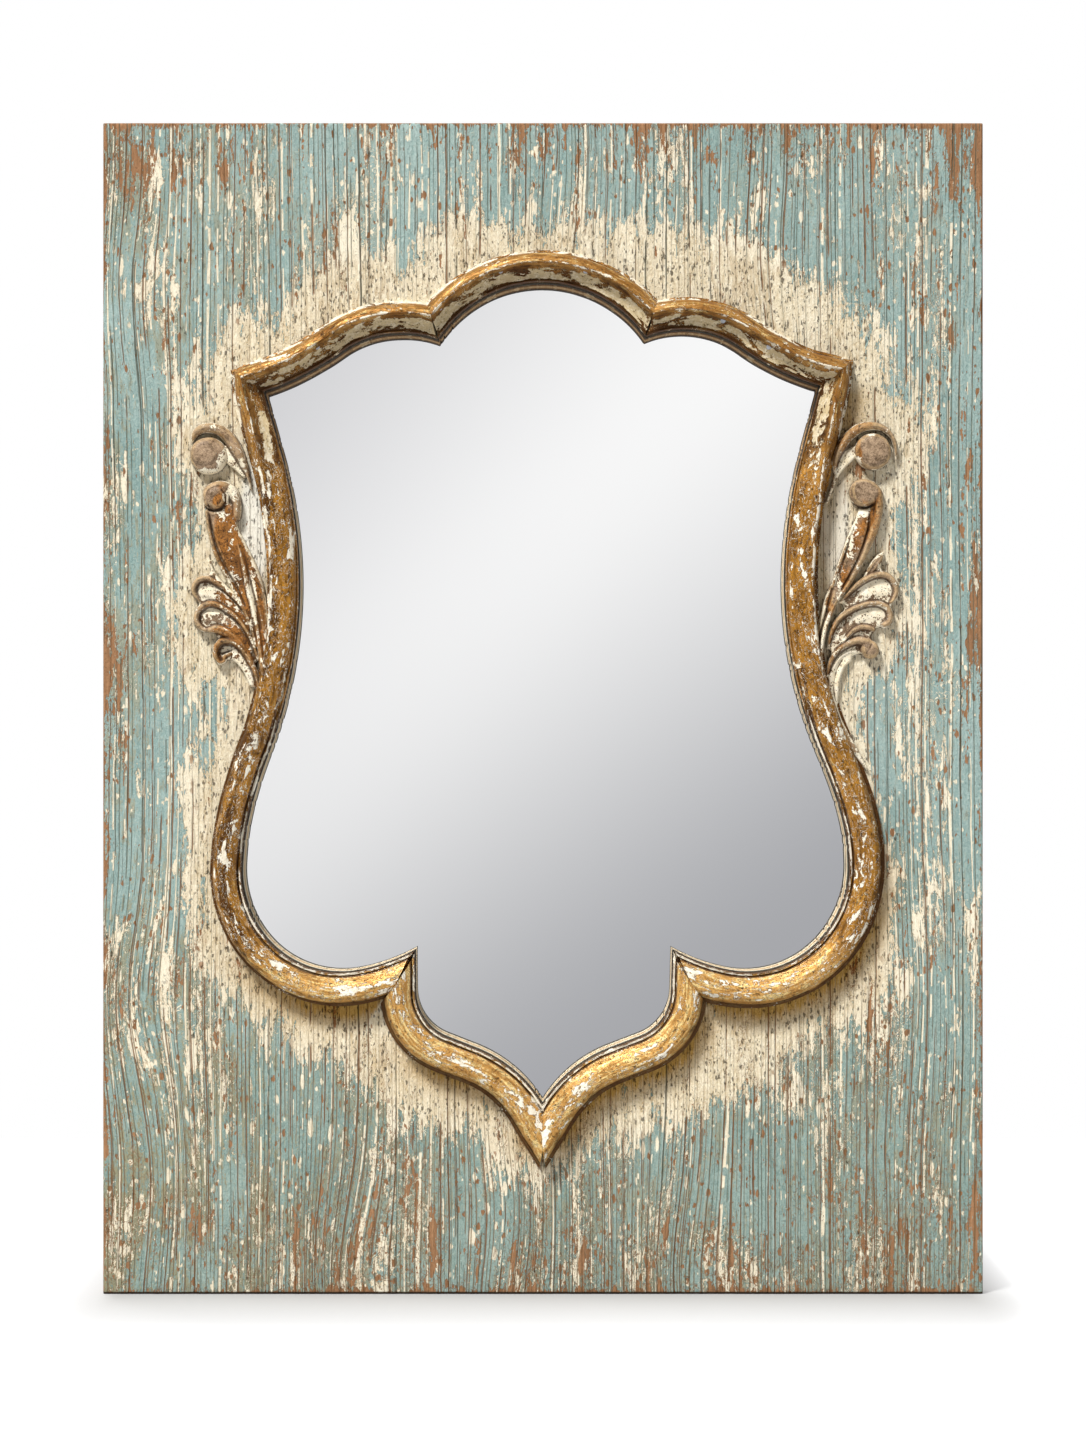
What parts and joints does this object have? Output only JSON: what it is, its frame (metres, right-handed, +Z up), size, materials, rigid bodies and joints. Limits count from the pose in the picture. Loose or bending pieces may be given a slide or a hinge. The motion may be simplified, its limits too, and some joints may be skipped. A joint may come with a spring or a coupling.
{
  "type": "shield mirror",
  "caption": "Wall mirror with a shield-shaped glass framed by a carved gilt moulding on a distressed painted board panel, with ring hangers behind.",
  "frame": {"origin": "centre of the panel's height and width, on the wall face of the backing board", "axes": "+Z up along the panel's height, +Y towards the wall, +X to the right for a viewer in front"},
  "size_m": [0.61, 0.052, 0.812],
  "materials": {
    "painted_board": "rubbed chalky teal paint over cream undercoat on raised-grain softwood",
    "gilt_moulding": "worn antique gold over cream gesso with dark glaze in the hollows",
    "carved_ornament": "taupe and gold glaze over cream gesso",
    "batten_pine": "planed pine, unfinished",
    "hardboard": "smooth tempered hardboard",
    "mirror_glass": "clear float glass",
    "silvering": "silvered mirror coat",
    "foam_pad": "dark grey foam sheet",
    "foam_tape": "white mounting tape",
    "hanger_steel": "zinc-plated steel, satin",
    "screw_steel": "zinc-plated slotted screws",
    "screw_brass": "brass slotted screws"
  },
  "bodies": {
    "panel": {"board_1": "painted_board", "board_2_top": "painted_board", "board_2_bottom": "painted_board", "board_3_top": "painted_board", "board_3_bottom": "painted_board", "board_4_top": "painted_board", "board_4_bottom": "painted_board", "board_5_top": "painted_board", "board_5_bottom": "painted_board", "board_6": "painted_board", "rail_top": "batten_pine", "rail_bottom": "batten_pine", "stile_left": "batten_pine", "stile_right": "batten_pine", "batten_screws": "screw_steel", "glass_tape": "foam_tape", "mirror_glass": "mirror_glass", "mirror_silvering": "silvering", "foam_pad": "foam_pad", "backing_board": "hardboard", "backing_screws": "screw_brass", "hanger_strap_left": "hanger_steel", "hanger_strap_right": "hanger_steel", "hanger_screws": "screw_steel", "moulding_arch": "gilt_moulding", "moulding_shoulder_left": "gilt_moulding", "moulding_shoulder_right": "gilt_moulding", "moulding_side_left": "gilt_moulding", "moulding_side_right": "gilt_moulding", "moulding_bowl_left": "gilt_moulding", "moulding_bowl_right": "gilt_moulding", "moulding_point_left": "gilt_moulding", "moulding_point_right": "gilt_moulding", "moulding_screws": "screw_steel", "scroll_left": "carved_ornament", "scroll_right": "carved_ornament", "scroll_button_left": "carved_ornament", "scroll_button_right": "carved_ornament", "leaf_left": "carved_ornament", "leaf_right": "carved_ornament", "leaf_fan_left": "carved_ornament", "leaf_fan_right": "carved_ornament"},
    "ring_left": {"hanger_ring_left": "hanger_steel"},
    "ring_right": {"hanger_ring_right": "hanger_steel"}
  },
  "joints": [
    {"name": "ring_left_hinge", "type": "hinge", "parent": "panel", "child": "ring_left", "pos_m": [-0.207, -0.0035, 0.343], "axis": [0, 0, 1], "range_deg": [0, 175]},
    {"name": "ring_right_hinge", "type": "hinge", "parent": "panel", "child": "ring_right", "pos_m": [0.207, -0.0035, 0.343], "axis": [0, 0, -1], "range_deg": [0, 175]}
  ]
}
